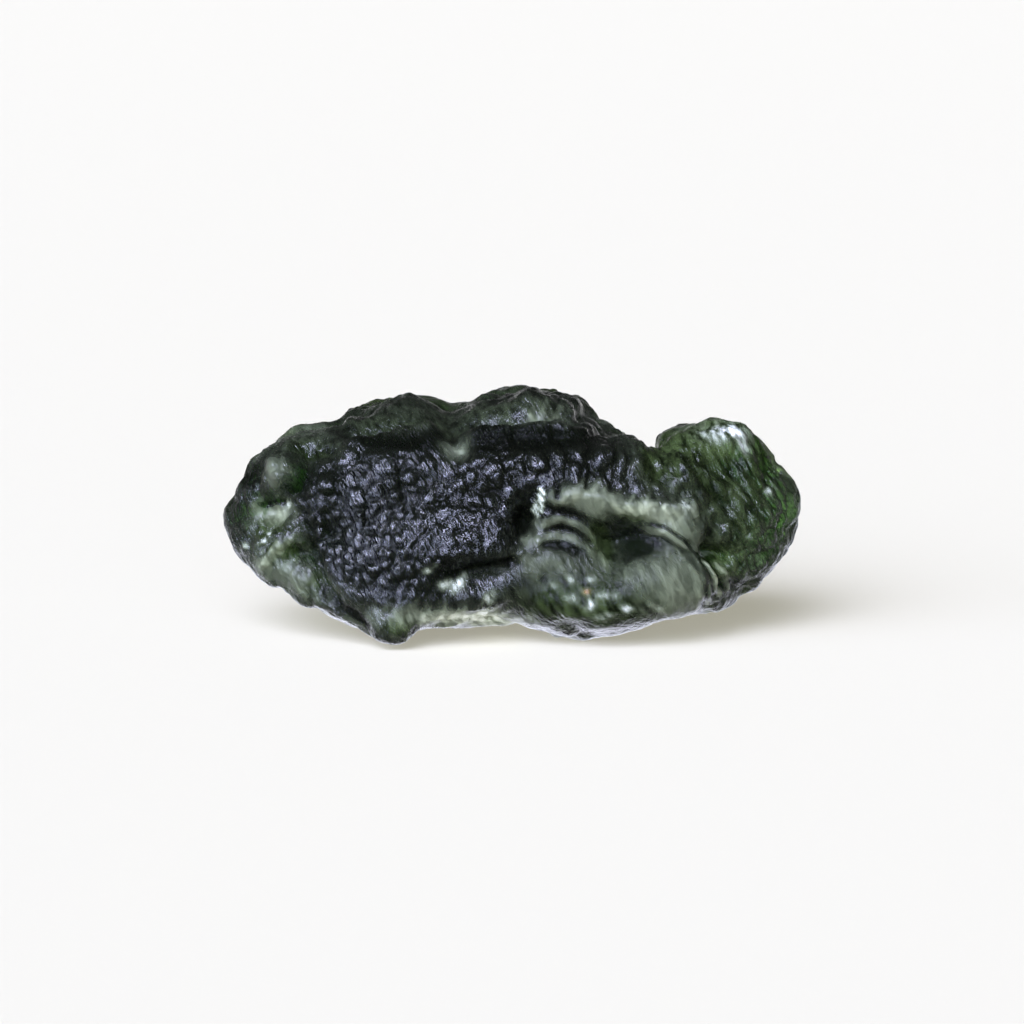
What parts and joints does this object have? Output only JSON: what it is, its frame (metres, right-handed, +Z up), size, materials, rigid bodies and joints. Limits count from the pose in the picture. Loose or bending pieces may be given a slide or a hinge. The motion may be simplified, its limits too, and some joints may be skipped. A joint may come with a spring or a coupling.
{
  "type": "raw moldavite",
  "caption": "Raw moldavite, a long lump of dark green translucent natural glass with a knobbly, deeply etched skin, a scooped hollow and a rounded lobe at one end.",
  "frame": {"origin": "centre of the stone's footprint box, on the surface that it rests on", "axes": "+X runs along the stone towards its rounded lobe, -Y is the side seen from the front, +Z up"},
  "size_m": [0.024, 0.0114, 0.0102],
  "materials": {
    "moldavite_glass": "dark bottle-green natural glass, satin to glossy etched skin"
  },
  "bodies": {
    "root": {"moldavite": "moldavite_glass"}
  },
  "joints": []
}
